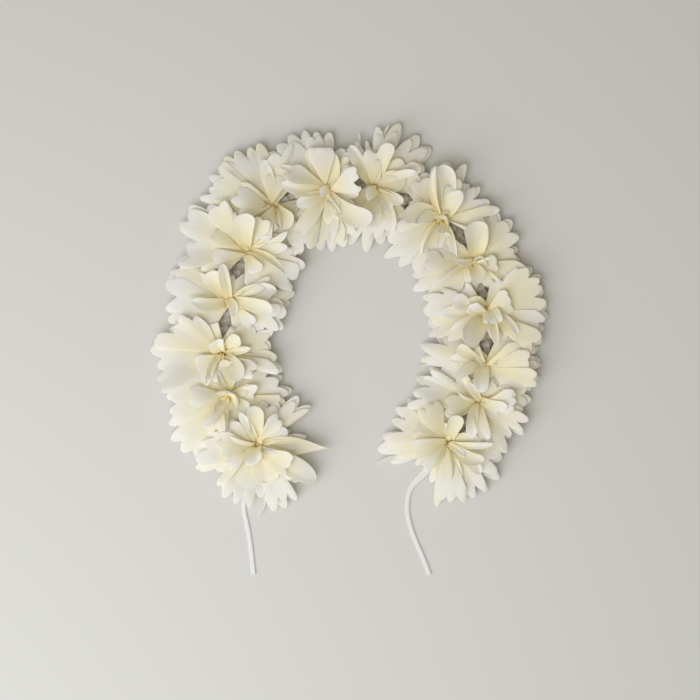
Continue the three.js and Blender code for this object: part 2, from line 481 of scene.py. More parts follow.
def wound_stem():
    """A tube along the arch. At each place its radius is that of a polygon turned by the twist there,
    less the waist, plus a sawtooth that winds round it once every wrap, plus a fine crinkle, with nothing
    below the table."""
    first = middles[:1] - seats[0].along * STEM_TAIL
    last = middles[-1:] + seats[-1].along * STEM_TAIL
    middle, length = smooth_path(np.concatenate([first, middles, last]), STEM_ROWS)
    side = side_of(middle)
    angle = np.linspace(0, 2 * np.pi, STEM_COLUMNS, endpoint=False)[None, :]
    place = length[:, None]
    fold = 2 * np.pi / STEM_FOLDS
    within_fold = (angle - 2 * np.pi * place / TWIST_PITCH) % fold - fold / 2
    polygon = STEM_RADIUS * np.cos(fold / 2) / np.cos(within_fold)
    waist = WAIST_DEPTH * np.abs(np.cos(np.pi * place / WAIST_PITCH + angle / 2)) ** WAIST_SHARPNESS
    wrap = (angle / (2 * np.pi) + place / WRAP_PITCH) % 1.0
    wander = CRINKLE_WANDER * np.sin(place / WRAP_PITCH)
    crinkle = np.sin(CRINKLES_ROUND * angle + 2 * np.pi * place / CRINKLE_PITCH + wander)
    radius = polygon - waist + WRAP_STEP * (wrap - 0.5) + CRINKLE * crinkle
    radius[[0, -1]] = 0.0
    plan = middle[:, None] - side[:, None] * (radius * np.cos(angle))[..., None]
    height = np.maximum(STEM_LEVEL + radius * np.sin(angle), 0.0)
    points = np.concatenate([plan, height[..., None]], axis=2) * MM
    # The wrap's phase goes out as the share: the tape's finish paints shade where it is low, under the
    # next wrap's edge.
    return Patch(points, wrap, np.zeros_like(points), np.zeros_like(wrap), True)


tape = Finish("stem_tape")
place_on_stem = tape.add("ShaderNodeTexCoord", output="Object")
crepe = tape.noise(tape.stretched(place_on_stem, CREPE_SCALE), CREPE_DETAIL)
stains = tape.noise(tape.stretched(place_on_stem, STAIN_SCALE))
# The tape's paleness mixes its crepe and stains with painted shade at the foot of each wrap's step.
wrap_step_shade = tape.attribute("share", "Fac")
paleness_and_wrap_shade = CREPE_SHARE * crepe + STAIN_SHARE * stains + WRAP_STEP_SHADE_SHARE * wrap_step_shade
stem_tape = tape.paint(
    Base_Color=tape.ramp(TAPE_GREYS_AND_SHADE, paleness_and_wrap_shade),
    Roughness=crepe.between(least=0.55, most=0.75),
    Normal=tape.bump(crepe, strength=0.7, distance=0.6 * MM),
)
stem = make_piece("stem_winding", [wound_stem()], stem_tape)
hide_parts("wound_stem")
print("stem points:", len(stem.data.vertices))

# %% [markdown]
# ## Petal cloth
#
# The petals are stamped from stiffened cloth, which is ivory. Towards the pinched middle the colour is
# painted warmer, cream where the cloth is gathered and amber deep in the middle: this is painted shade
# for the light that bounces between the folds there. A fine grain runs from root to tip. The colour is a
# ramp along `share`, and the grain is noise that is stretched along the cloth. A little light spreads
# inside the thin cloth, which softens the shade at the folds.

# %% Petal cloth
GRAIN_SCALE = (3200.0, 160.0, 1000.0)
GRAIN_DETAIL = 3.0
MOTTLE_SCALE = (160.0, 90.0, 1000.0)
THREAD_SCALE = (6000.0, 6000.0, 1000.0)
TONE_AND_SHADE_SHIFT = 0.3
MOTTLE_SHIFT = 0.12
GRAIN_SHARE = 0.7
THREAD_SHARE = 0.3
# Near the root the stops are painted warm shade for light bounced between the folds; the tip's ivory is
# the cloth's own.
PETAL_IVORY_AND_ROOT_SHADE = (
    (0.0, (0.56, 0.42, 0.14)),
    (0.05, (0.82, 0.69, 0.36)),
    (0.12, (0.89, 0.80, 0.52)),
    (0.32, (0.91, 0.84, 0.59)),
    (0.6, (0.92, 0.87, 0.68)),
    (0.85, (0.93, 0.897, 0.79)),
    (1.0, (0.94, 0.925, 0.87)),
)

cloth = Finish("petal_cloth")
share = cloth.attribute("share", "Fac")
tone = cloth.attribute("tone", "Fac")
flat_place = cloth.attribute("cloth", "Vector")
grain = cloth.noise(cloth.stretched(flat_place, GRAIN_SCALE), GRAIN_DETAIL)
mottle = cloth.noise(cloth.stretched(flat_place, MOTTLE_SCALE))
threads = cloth.noise(cloth.stretched(flat_place, THREAD_SCALE))
# Low values pick the painted shade near the root; the tone and the mottle shift it.
ivory_and_root_shade = share * (1 + TONE_AND_SHADE_SHIFT * tone) + MOTTLE_SHIFT * (mottle - 0.5)
petal_cloth = cloth.paint(
    Base_Color=cloth.ramp(PETAL_IVORY_AND_ROOT_SHADE, ivory_and_root_shade),
    Roughness=grain.between(least=0.62, most=0.78),
    Subsurface_Weight=0.5,
    Subsurface_Radius=(1.0, 0.95, 0.8),
    Subsurface_Scale=0.6 * MM,
    Normal=cloth.bump(GRAIN_SHARE * grain + THREAD_SHARE * threads, strength=0.2, distance=0.3 * MM),
)
print("petal cloth nodes:", len(cloth.tree.nodes))

# %% [markdown]
# ## The petals' tips
#
# Under the small petals of each flower lie two stamped discs of cloth, and their edges are cut into
# rounded lobes. Each lobe has a tip with a heading in degrees and a reach in millimetres. The tips that
# show at the garland's edge are listed for each flower. Even ones fill the gaps between them and reach as
# far as the flower's size and its neighbours allow.

# %% Petal tips
FAN_TIPS = (
    ((13, 23), (25, 17), (36, 30.5), (50, 29.5), (191, 27.5), (201, 29), (212, 21), (225, 25),
     (238, 27.5), (250, 27.5), (264, 28), (286, 30.5), (296, 31), (307, 30.5), (332, 31.5), (346, 16),
     (359, 20)),
    ((5, 28), (20, 25), (181, 28.5), (195, 28), (206, 30.5), (217, 33.5), (230, 33.5), (243, 32.5)),
    ((11, 22), (24, 25), (155, 26), (168, 31), (178, 32.5), (192, 30), (202, 31.5), (213, 32), (343, 28),
     (356, 24.5)),
    ((152, 30), (166, 30), (186, 29), (197, 29), (208, 30), (333, 27), (347, 26), (359, 27), (9, 29.5)),
    ((142, 32.8), (157, 32.5), (174, 27), (189, 31), (320, 27), (332, 26), (347, 27.5)),
    ((104, 29), (113, 28.5), (125, 30), (135, 31), (146, 30.5), (156, 32), (165, 30), (174, 33.5),
     (299, 25), (315, 26)),
    ((70, 20), (86, 26), (100, 26.5), (110, 28.5), (123, 29.5), (136, 29.5), (252, 28), (265, 27.5),
     (276, 28), (287, 27)),
    ((34, 31.5), (49, 31), (67, 31), (87, 27), (98, 21), (110, 22), (126, 21), (248, 28), (264, 29.5),
     (278, 26), (292, 26), (306, 25), (320, 23)),
    ((21, 22), (40, 21.5), (53, 19), (67, 26), (85, 25), (203, 27), (214, 32), (228, 29.5), (243, 28)),
    ((3, 21), (17, 21), (32, 24), (48, 25.5), (64, 25), (192, 28), (205, 30)),
    ((5, 28), (32, 29.5), (42, 28), (54, 26), (168, 29), (178, 28), (194, 26.5), (205, 28), (318, 29.5),
     (330, 29), (342, 28), (354, 28.5)),
    ((3, 25), (15, 25), (165, 30), (180, 29), (328, 24), (343, 25.5), (357, 25.5)),
    ((4, 24), (158, 30), (171, 29.5), (182, 32), (300, 26), (324, 25), (339, 24), (352, 21)),
    ((147, 27.5), (159, 26.5), (175, 29), (189, 31.5), (202, 27), (217, 18), (233, 17), (247, 20),
     (261, 30), (285, 28.5), (297, 28.5), (308, 29), (324, 29), (341, 26)),
)
END_REACH = 29.0
END_SHARPNESS = 4
OVERLAP = 3.5
LEAST_LEANING = 0.05
TIP_STEP = 14.0
UNEVEN = 0.2


def turned(seat, heading):
    """The angle in radians between a heading in degrees and the arch's own direction at a flower."""
    return np.radians(heading) - np.arctan2(seat.along[1], seat.along[0])


def room_at(seat, angle, slack):
    """How far out the plane half way to a neighbour is in a direction, with some slack past it."""
    ahead = np.cos(angle) > 0
    half = np.where(ahead, seat.ahead[0], seat.behind[0])
    slope = np.where(ahead, seat.ahead[1], seat.behind[1])
    leaning = np.abs(np.cos(angle)) - slope * np.sin(angle)
    return np.where(half == OPEN_END, OPEN_END, (half + slack) / np.maximum(leaning, LEAST_LEANING))


def usual_reach(seat, heading):
    """How far a petal reaches in a direction: as the flower's size allows, but not past the neighbour."""
    angle = turned(seat, heading)
    crosswise = np.where(np.sin(angle) > 0, seat.flower.outward, seat.flower.inward)
    whole = crosswise + (END_REACH - crosswise) * np.cos(angle) ** END_SHARPNESS
    return np.minimum(whole, room_at(seat, angle, OVERLAP))


def listed_tips(seat):
    """Headings and reaches of the listed tips of a flower, in order, with even ones in the wide gaps
    between them: those have the usual reach, less an uneven share of it."""
    listed = np.array(sorted(FAN_TIPS[seat.number - 1]), float)
    following = np.append(listed[1:, 0], listed[0, 0] + 360)
    heading = []
    reach = []
    for (start, length), end in zip(listed, following):
        gaps = max(round((end - start) / TIP_STEP), 1)
        between = start + (end - start) * np.arange(1, gaps) / gaps
        heading.extend([start, *between])
        reach.extend([length, *usual_reach(seat, between) * (1 - UNEVEN * np.sin(between) ** 2)])
    return np.array(heading), np.array(reach)


print("lobes of each flower:", [len(listed_tips(seat)[0]) for seat in seats])

# %% [markdown]
# ## Windows in the cloth
#
# In some places the cloth leaves a small window, and the wound stem shows through it. A window is a
# diamond with blunt sides that lies on the stem's line, and cloth that would cross a window ends at its
# rim.

# %% Windows
Window = namedtuple("Window", "x y half_length half_width heading")
WINDOWS = (
    Window(-55.9, -2.2, 7.4, 3.2, 80),
    Window(-49.7, 22.4, 5.6, 3.2, 71),
    Window(-29.4, 53.1, 3.4, 1.8, 23),
    Window(4.8, 59.9, 3.2, 2.6, -3),
    Window(24.3, 54.3, 4.6, 2.8, -22),
    Window(48.4, 37.5, 7.6, 3.4, -55),
    Window(59.4, 11.0, 5.6, 3.0, -80),
    Window(61.2, -12.3, 6.6, 3.2, -92),
    Window(60.1, -28.9, 3.4, 2.8, -97),
    Window(50.6, -47.5, 8.0, 3.8, -131),
)
BLUNT_SIDES = 0.65


def pointing(heading):
    """The direction of a heading in degrees, as its x and its y."""
    return np.array([np.cos(np.radians(heading)), np.sin(np.radians(heading))])


def window_at(seat, angle):
    """How far out the nearest window is in each direction: where the line from the flower's middle has
    come between all three pairs of its sides, slanting and blunt, before it leaves a pair again."""
    windows = np.array(WINDOWS)[:, :, None]
    lengthwise = pointing(windows[:, 4])
    ahead = np.cos(angle) * seat.along[:, None] + np.sin(angle) * seat.across[:, None]
    start = seat.middle[:, None, None] - windows[:, :2].transpose(1, 0, 2)

    def in_window(vector):
        forward = (vector[0] * lengthwise[0] + vector[1] * lengthwise[1]) / windows[:, 2]
        sideways = (vector[1] * lengthwise[0] - vector[0] * lengthwise[1]) / windows[:, 3]
        return np.array([forward + sideways, forward - sideways, sideways / BLUNT_SIDES])

    place = in_window(start)
    step = in_window(ahead[:, None])
    sides = np.sort([(-1 - place) / step, (1 - place) / step], axis=0)
    enter = sides[0].max(axis=0)
    leave = sides[1].min(axis=0)
    return np.where((enter < leave) & (enter > 0), enter, np.inf).min(axis=0)


print("windows:", len(WINDOWS))

# %% [markdown]
# ## One fan
#
# A disc is pleated, so that from above it looks like a ring of smooth fans with a few lobes each. Cloth
# that is pinched at its root rises, bows over and comes down again. Where a neighbour is in the way, the
# cloth is pushed up or held down. A fan is a function of two parameters, the share of the way out and the
# angle: `rise` and `droop` give its bow, `flute` its low ridges, `level` the height of its root and
# `tilt` how far it leans.

# %% One fan
Fan = namedtuple("Fan", "rise droop flute level tilt")
LOBE_ROUNDNESS = 2.0
LOBE_COLUMNS = 8
FAN_ROWS = 16
LOBE_LIFT = 0.5
LOBE_LIFT_POWER = 1.5
FLUTE_RANGE = (0.4, 1.4)
NOTCH_SHARE = 0.8
FAN_SPREAD = 0.12
FAN_SPREAD_POWER = 4
FAN_TILT_RANGE = (0.6, 1.3)
FAN_CUP = 1.3
FAN_RISE = 0.11
LAID_OVER = 2.2
LAID_UNDER = -1.2
LAID_TO = 1.2
LOWEST = 0.4


def pushed_up(seat, way, angle):
    """How much a neighbour lifts the cloth: most just past the plane half way, and less with the square of
    the distance from the middle. Of two neighbours, the one with the odd number lies over the other."""
    share = way / room_at(seat, angle, 0.0)
    lift = LAID_OVER if seat.number % 2 else LAID_UNDER
    return lift * np.minimum(share, LAID_TO) ** 2


def petal_fan(seat, fan, heading, reach, gap, notch, chance):
    """One fan of a pleated disc. A point's way out is its share of the way to the edge, which dips
    between the lobes, or to a window's rim. The fan's outermost lobes are carried a little past their
    place, over the next fan. The height is a smooth bow of the way out: the uncut reach times (rise times
    s plus half the droop times s squared), with s the way out as a share of that reach. Low flutes run
    along the lobes, each tip has its own lift, and the whole fan is tilted and cupped."""
    count = len(heading)
    across_lobe = np.linspace(-1, 1, LOBE_COLUMNS, endpoint=False)[None, :]
    before = across_lobe < 0
    half_gap = np.where(before, gap[:-1, None], gap[1:, None]) / 2
    dip = np.where(before, notch[:-1, None], notch[1:, None])
    bend = np.abs(across_lobe) ** LOBE_ROUNDNESS
    edge = np.append(reach[:, None] + (dip - reach[:, None]) * bend, notch[-1])
    angle = np.append(heading[:, None] + across_lobe * half_gap, heading[-1] + gap[-1] / 2)
    uncut = np.interp(angle, heading, reach)
    middle = (angle[0] + angle[-1]) / 2
    beside_middle = (angle - middle) / (angle[-1] - middle)
    spread = FAN_SPREAD * beside_middle ** FAN_SPREAD_POWER
    angle = turned(seat, angle + (angle - middle) * spread)
    lobe = np.append(np.repeat(np.arange(count), LOBE_COLUMNS), count - 1)
    beside = np.append(np.tile(across_lobe.ravel(), count), 1.0)
    out = np.linspace(0, 1, FAN_ROWS)[:, None]
    way = out * np.minimum(edge, window_at(seat, angle))
    share_out = way / uncut
    rise = fan.rise + chance.uniform(-FAN_RISE, FAN_RISE)
    climb = uncut * share_out * (rise + 0.5 * fan.droop * share_out)
    ridge = (0.5 - np.abs(beside)) * share_out ** 2
    flute = fan.flute * chance.uniform(*FLUTE_RANGE, count)[lobe] * ridge
    past_notch = np.clip((share_out - NOTCH_SHARE) / (1 - NOTCH_SHARE), 0, 1)
    own_lift = chance.uniform(-LOBE_LIFT, LOBE_LIFT, count)[lobe] * past_notch ** LOBE_LIFT_POWER
    leaning = fan.tilt * chance.uniform(*FAN_TILT_RANGE) * beside_middle * share_out
    cupped = chance.uniform(-FAN_CUP, FAN_CUP) * beside_middle ** 2 * share_out
    height = fan.level + climb + flute + own_lift + leaning + cupped + pushed_up(seat, way, angle)
    plan = seat.middle + (way * np.cos(angle))[..., None] * seat.along
    plan = plan + (way * np.sin(angle))[..., None] * seat.across
    points = np.concatenate([plan, np.maximum(height, LOWEST)[..., None]], axis=2)
    flat = np.stack(np.broadcast_arrays(way * angle, way, heading[0]), axis=-1)
    # A fan's tone is random; painted shade and light come only with the small petals' forms.
    tone = np.broadcast_to(chance.uniform(-1, 1), way.shape)
    return Patch(points * MM, np.broadcast_to(out, way.shape), flat * MM, tone, False)


print("grid rows of a fan:", FAN_ROWS)

# %% [markdown]
# ## The petal fans
#
# Each flower has an outer disc and a middle one. The middle disc follows the same tips, each turned a
# little and mostly shorter, so that its lobes do not hide those below. Between two tips the edge dips,
# less where they are close together or face a neighbour. For a disc the model's part is hidden, and the
# size of the strip that its petals were stamped from is worked out: as long as the longest petal, and
# wide enough for all of them with the waste between.

# %% Petal fans
Disc = namedtuple("Disc", "ring dip shifted fan")
DISCS = (
    Disc("outer", 0.19, False, Fan(0.20, -0.36, 0.10, 5.4, 0.8)),
    Disc("middle", 0.14, True, Fan(0.38, -0.54, 0.08, 6.0, 1.1)),
)
FAN_SEED = 1
LOBES_IN_A_FAN = (4, 6, 3, 5, 3, 4)
TIP_TURN = 4.0
TIP_RANGE = (0.93, 1.04)
CLOSE_TIPS = 13.0
CLOSE_DIP_LIMITS = (0.5, 1.6)
DIP_RANGE = (0.6, 1.5)
FACING_DIP = 0.85
SHEET_THICKNESS = 0.2 * MM
CLOTH_USED = 0.7


def lobe_tips(seat, disc, chance):
    """Headings and reaches of a disc's tips. On a shifted disc each is turned and mostly shorter."""
    heading, reach = listed_tips(seat)
    if not disc.shifted:
        return heading, reach
    turn = chance.uniform(-TIP_TURN, TIP_TURN, len(heading))
    return heading + turn, seat.flower.broad * reach * chance.uniform(*TIP_RANGE, len(heading))


def pleated_disc(seat, disc, chance):
    """All fans of one disc: its lobes in order, a few to each fan. The edge dips between two tips by the
    disc's share, times the flower's own cut, less between close tips and towards a neighbour."""
    heading, reach = lobe_tips(seat, disc, chance)
    gap = np.diff(np.append(heading, heading[0] + 360))
    shorter = np.minimum(reach, np.roll(reach, -1))
    dip = disc.dip * seat.flower.cut * np.clip(gap / CLOSE_TIPS, *CLOSE_DIP_LIMITS)
    angle = turned(seat, heading + gap / 2)
    facing = np.where(room_at(seat, angle, 0.0) < OPEN_END, np.abs(np.cos(angle)), 0.0)
    dip = dip * chance.uniform(*DIP_RANGE, len(dip)) * (1 - FACING_DIP * facing)
    notch = shorter * (1 - dip)
    gap = np.append(gap[-1], gap)
    notch = np.append(notch[-1], notch)
    first = 0
    fans = []
    while first < len(heading):
        lobes = LOBES_IN_A_FAN[(len(fans) + seat.number) % len(LOBES_IN_A_FAN)]
        last = min(first + lobes, len(heading))
        tips = slice(first, last)
        notches = slice(first, last + 1)
        edge = (heading[tips], reach[tips], gap[notches], notch[notches])
        fans.append(petal_fan(seat, disc.fan, *edge, chance))
        first = last
    return fans


def cloth_size(patch):
    """A patch's area, half the cross product of each face's diagonals, and its longest column."""
    rising = patch.points[1:, 1:] - patch.points[:-1, :-1]
    falling = patch.points[1:, :-1] - patch.points[:-1, 1:]
    area = 0.5 * np.linalg.norm(np.cross(rising, falling), axis=2).sum()
    length = np.linalg.norm(np.diff(patch.points, axis=0), axis=2).sum(axis=0).max()
    return area, length


def declare_cloth(patches, node):
    """Hides the model's part that a cloth piece stands for, and works out the size of the strip that
    its petals were cut from.
    """
    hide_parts(node)
    areas, lengths = zip(*map(cloth_size, patches))
    area = sum(areas)
    length = max(lengths)
    width = area / (CLOTH_USED * length)


for seat in seats:
    chance = np.random.default_rng([seat.number, FAN_SEED])
    for disc in DISCS:
        patches = pleated_disc(seat, disc, chance)
        piece = make_piece(f"fans_{seat.number:02d}_{disc.ring}", patches, petal_cloth)
        thicken(piece, SHEET_THICKNESS)
        declare_cloth(patches, f"flower_{seat.number:02d}_{disc.ring}")
print("fans made for", len(seats), "flowers")

# %% [markdown]
# ## Forms of the small petals
#
# The heart of each flower is a loose bunch of petals that are pinched together at their roots. Some are
# flat blades, some cups that show their inside, some folded, rolled into a funnel or turned edge-on. A
# form gives how much of the root's distance from the middle is kept (`pull`), the root's level, the slope
# there and how it falls (`rise`, `droop`), the angles of the arc, the fold and the turn (`wrap`, `fold`,
# `tilt`), the width at the root, the widest place and the start of the tip as shares (`root`, `widest`,
# `tip`), how pointed the tip is, and its tone. The tone is painted light and shade: below zero it paints
# shade inside cups and funnels and on petals that lie under others, and above zero it paints light on
# forms that catch it on top. A row of a flower gives the root's place from the flower's middle, the
# heading, the length seen from above, the width and the form.

# %% Forms and rows
Form = namedtuple("Form", "pull level rise droop wrap fold tilt root widest tip point tone")
# The tone column is painted light and shade: below zero on cups, funnels and under petals, above on the
# rest.
FORMS = {
    "blade": Form(0.4, 7.0, 0.95, -0.80, 10, 34, 16, 0.60, 0.50, 0.68, 0.55, 0.6),
    "oval": Form(0.4, 6.5, 0.95, -0.85, 16, 30, 12, 0.50, 0.55, 0.62, 0.50, 0.3),
    "cup": Form(0.4, 6.2, 1.30, -0.70, 100, 0, 14, 0.55, 0.85, 0.76, 0.45, -0.2),
    "flap": Form(0.6, 7.5, 1.60, -1.00, 10, 40, 18, 0.75, 0.80, 0.88, 0.35, 0.8),
    "fold": Form(0.4, 7.0, 1.00, -0.80, 0, 105, 24, 0.60, 0.60, 0.60, 0.60, 0.2),
    "edge": Form(0.5, 7.5, 1.15, -0.85, 20, 10, 72, 0.50, 0.50, 0.50, 0.60, 0.6),
    "funnel": Form(1.0, 7.0, 3.20, -1.20, 310, 0, 0, 0.25, 0.50, 0.80, 0.30, -0.2),
    "sliver": Form(1.0, 4.2, -0.03, -0.04, 10, 0, 35, 0.60, 0.40, 0.55, 0.60, 0.8),
    "under": Form(0.4, 6.0, 0.52, -0.60, 14, 30, 10, 0.55, 0.70, 0.70, 0.55, -0.3),
    "spike": Form(0.5, 7.0, 0.10, -0.20, 0, 70, 0, 0.60, 0.35, 0.20, 2.20, 0.5),
}
SMALL_PETALS = (
    ((1, 2.1, 48, 15.2, 8.5, "broad"), (-0.5, -0.7, -82, 6.7, 8.5, "flap"),
     (2.9, 0.2, -20, 7.4, 3.2, "blade"), (-1.2, 1.2, 164, 11.8, 4.2, "blade"),
     (0.4, 5.9, 128, 11.7, 4, "blade"), (1.4, 7, 98, 11.5, 8, "cup"), (2.3, 2.4, 21, 12.9, 7, "oval"),
     (-2.7, -1.7, 215, 12, 8, "broad"), (6, 0, -3, 29.2, 11, "spike"), (4, -2.5, -28, 26, 10, "oval"),
     (6.8, -12.9, -106.5, 20, 2.2, "sliver")),
    ((0.5, -1, 40, 2.6, 19, "funnel"), (5, -1.4, 34, 9.4, 5, "oval"),
     (-4.3, -2.4, -86, 9.5, 6.5, "blade"), (-2, 0.2, 180, 14, 7, "broad"),
     (-4.9, -8.4, -66, 9.3, 2.2, "edge"), (-5, -3.2, 243, 12.5, 5, "blade"),
     (1.4, -3, -25, 8, 6.5, "cup"), (-1, 3, 120, 9, 6, "fold")),
    ((-1.7, 0.9, 92, 5.2, 7.4, "flap"), (-3.6, -1.3, 255, 13.7, 5.4, "fold"),
     (-0.4, -0.3, 265, 7.6, 3.8, "fold"), (1.2, -3.5, -45, 11.2, 9.5, "cup"),
     (2.7, -1.6, -24, 11, 3.8, "blade"), (2.4, 1.3, 50, 8.3, 7, "cup"), (4.6, -1.3, 25, 9, 6, "fold")),
    ((-0.7, 3.9, 101, 12.9, 5.5, "blade"), (-2.6, 3.9, -63, 11.3, 5, "blade"),
     (-5.1, 2.7, 116, 10.9, 9, "cup"), (-4, 0.8, 184, 12.8, 6.3, "oval"), (4, 5, 23, 15.5, 3.6, "blade"),
     (4, 3.5, 5, 17.5, 7, "oval"), (4, 2, -20, 17, 7.4, "cup"), (4, -1.4, -55, 12, 7.8, "broad"),
     (-6, 2.5, 157, 24.2, 2, "sliver")),
    ((-2.4, 1.7, 157, 14.4, 9.5, "broad"), (-0.2, 4.9, 84, 11.4, 10.4, "cup"),
     (-5.9, 9.9, 78, 7.7, 2.2, "edge"), (3, 4, 16, 16.5, 3.6, "blade"), (4, 2, -1, 15, 5.4, "oval"),
     (4, 0.8, -38, 17.5, 6.8, "fold"), (3.2, -1.7, -75, 8.5, 9, "broad")),
    ((-0.9, 4, 103, 16.9, 6, "oval"), (-1.5, -0.4, 185, 14.3, 12, "broad"),
     (-0.2, -1, 261, 11.8, 8, "broad"), (0.4, -1, -79, 10.3, 2, "edge"),
     (1.7, -1.7, -79, 9.7, 2.4, "edge"), (2, -1.4, -48, 9.8, 8.5, "cup"),
     (-2.7, 4, 162, 13, 8, "broad")),
    ((2.9, 0.4, 204, 6.2, 5.2, "flap"), (-2.4, -3, 201, 11.5, 6.3, "oval"),
     (-4, 0.5, 175, 15.5, 7, "oval"), (-4, 4, 160, 17.5, 4.2, "blade"), (4, -0.5, 0, 10.6, 9, "broad"),
     (1.7, -4, -48, 9.4, 6.3, "oval"), (-1.5, -4, 236, 20.5, 7.5, "oval"),
     (-0.5, -4, -83, 19.5, 6, "oval"), (1, -5, -75, 19, 5.4, "oval"), (3, -5, -29, 20, 10, "cup"),
     (-0.2, 2.7, 98, 16.6, 14, "broad")),
    ((1.1, 2.3, 100, 11.2, 6.6, "oval"), (-3, 4, 120, 15.5, 6.3, "oval"), (4, 5, 75, 14, 7.5, "cup"),
     (4, 4, 8, 8.5, 4.4, "blade"), (8, 5, 5, 11, 4, "blade"), (3.3, -2.8, 196, 6.9, 5.7, "flap"),
     (2, -5, -52, 9, 7, "oval"), (5, -2.1, -29, 8.4, 3.2, "fold"), (3, -7, -71, 15, 5.7, "oval"),
     (4, -4, -24, 10, 5.5, "cup"), (-2, -6, -84, 13, 8.5, "cup"), (-1.5, 6, 104, 19, 2.4, "sliver"),
     (1.5, 6, 75, 23.2, 2.4, "sliver")),
    ((-3, 1, 92, 21, 5.7, "fold"), (-1.1, 4, 90, 19, 8.5, "cup"), (2.4, 0.5, 62, 12.1, 7.6, "oval"),
     (0.2, -1.1, 60, 1.8, 11, "funnel"), (-5, 1.7, 180, 13, 10.5, "cup"),
     (0.2, -4, 231, 4.6, 4.4, "flap"), (1.1, -4.6, -77, 15.9, 3.6, "blade"),
     (-5, 2, 2, 7.5, 2.5, "edge"), (-5, -4, 250, 13.5, 4.4, "fold"), (-4, -5, -80, 9, 4.4, "blade")),
    ((-1.7, -1.2, 0, 10.6, 7, "broad"), (0.2, 1.6, 191, 8.6, 3.8, "blade"),
     (-2.4, -1.9, -88, 8, 3.4, "oval"), (0.2, 3.2, 93, 14.2, 11.5, "cup"),
     (-4, -1.5, 173, 18.4, 11, "broad"), (-1.1, -3.8, -57, 7, 8, "cup"),
     (-4, -3.4, 205, 13, 4.4, "fold"), (7.7, -6.6, -45, 6, 2.2, "edge"),
     (3, 0.7, 80, 1.8, 11, "funnel")),
    ((2.4, 0.4, -79, 6.8, 9.5, "flap"), (3.7, -4.5, -85, 11.5, 7, "fold"),
     (5, -0.5, -50, 14, 4.2, "blade"), (-2.7, -3.3, 129, 7, 7, "flap"), (-1.1, 1.4, 144, 7, 6.5, "cup"),
     (-2, -5, 230, 12.5, 10.5, "cup"), (-4, -1.5, 180, 16.5, 6.3, "oval"),
     (-4, -4.5, 202, 12.5, 4.2, "blade")),
    ((2.1, -4.4, -10, 21.8, 10, "broad"), (1.1, -2.8, 12, 19.4, 12, "broad"),
     (-2.7, -0.6, 172, 13.4, 5.7, "oval"), (-1.4, -1.2, 107, 8.6, 3.6, "blade"),
     (-0.8, -3.6, 258, 10, 7.4, "oval"), (-4, -4, 197, 10.4, 5.4, "oval"), (-3, 2, 150, 11, 6, "cup"),
     (6, 0, -2, 18.8, 2, "sliver"), (-6, -2.2, 180, 24.6, 2, "sliver")),
    ((2.7, 1.3, 136, 10.5, 3.9, "blade"), (-1.7, 0.7, 154, 8.8, 2.2, "edge"),
     (-2.4, 0, -92, 16.1, 5.5, "oval"), (0.8, -3.4, -78, 13.3, 6.6, "oval"),
     (0.8, -0.6, -35, 10, 6.3, "oval"), (3.6, 2.9, -25, 9.8, 5, "blade"), (-3, -1, 200, 13, 7, "broad"),
     (3, 1, 5, 14, 8, "broad")),
    ((1.9, 1.5, 76, 10.7, 7.4, "cup"), (1.2, 0.2, 108, 9, 3, "blade"), (0, 0, 181, 16.4, 3.6, "blade"),
     (1.9, -2, 3, 18.3, 3.2, "blade"), (0, -2.6, -27, 8.9, 3.3, "blade"), (3, -2, -30, 14, 7.4, "cup"),
     (2.5, -4.5, -40, 15.4, 6.3, "oval"), (0.9, -4, -87, 12.5, 2.4, "edge"),
     (-2, -2, 225, 13, 8, "broad"), (-2, 2, 150, 13, 8, "broad"),
     (-6, -8.5, 183.5, 25.8, 2.6, "sliver")),
)

print("listed small petals:", sum(map(len, SMALL_PETALS)))

# %% [markdown]
# ## One small petal
#
# A small petal is a surface along and across: its middle line leaves the root at a slope that eases
# towards the tip, its sides run side by side up to a round tip, and its cross row is an arc or a fold. So
# one function gives a blade, a cup or a funnel. A broad petal has a lobed edge instead, so it is a narrow
# fan like those of the discs, only steeper.

# %% One small petal
UPPER_FAN = Fan(0.90, -0.95, 0.12, 6.8, 1.3)
BROAD_LOBE = 5.0
BROAD_PULL = 0.5
BROAD_DIP = (0.06, 0.14)
BROAD_CORNER = 0.22
PETAL_ROWS = 18
PETAL_COLUMNS = 11
TIP_CROWDING = 1.6
LEAST_WRAP = 1.0
TIP_POWER = 2.5
OPENING = 0.45
EDGE_WAVE = 0.05
EDGE_WAVES = 3
WAVE_STARTS = (0, 6)
TILT_POWER = 0.6
LONG_PETAL = 15.0
RISE_RANGE = (0.8, 1.2)
DROOP_RANGE = (0.7, 1.3)
TONE_RANGE = 0.4
BEND = 0.5
SLANT = 0.35
CREASE_PLACE = 0.5


def lobed_petal(seat, row, chance):
    """A broad petal: a narrow fan round the row's heading, with a lobe for every few millimetres of its
    width, shallow notches between them and deeper ones at its corners."""
    x, y, heading, reach, width, _ = row
    root = BROAD_PULL * np.array([x, y])
    tip = np.array([x, y]) + reach * pointing(heading) - root
    whole = np.linalg.norm(tip)
    count = max(round(width / BROAD_LOBE), 1)
    gap = np.full(count + 1, np.degrees(width / whole) / count)
    place = np.degrees(np.arctan2(tip[1], tip[0])) + gap[0] * (np.arange(count) - (count - 1) / 2)
    notch = whole * (1 - chance.uniform(*BROAD_DIP, count + 1))
    notch[[0, -1]] = whole * (1 - BROAD_CORNER)
    seat = seat._replace(middle=seat.middle + root)
    reaches = whole * chance.uniform(*TIP_RANGE, count)
    return petal_fan(seat, UPPER_FAN, place, reaches, gap, notch, chance)


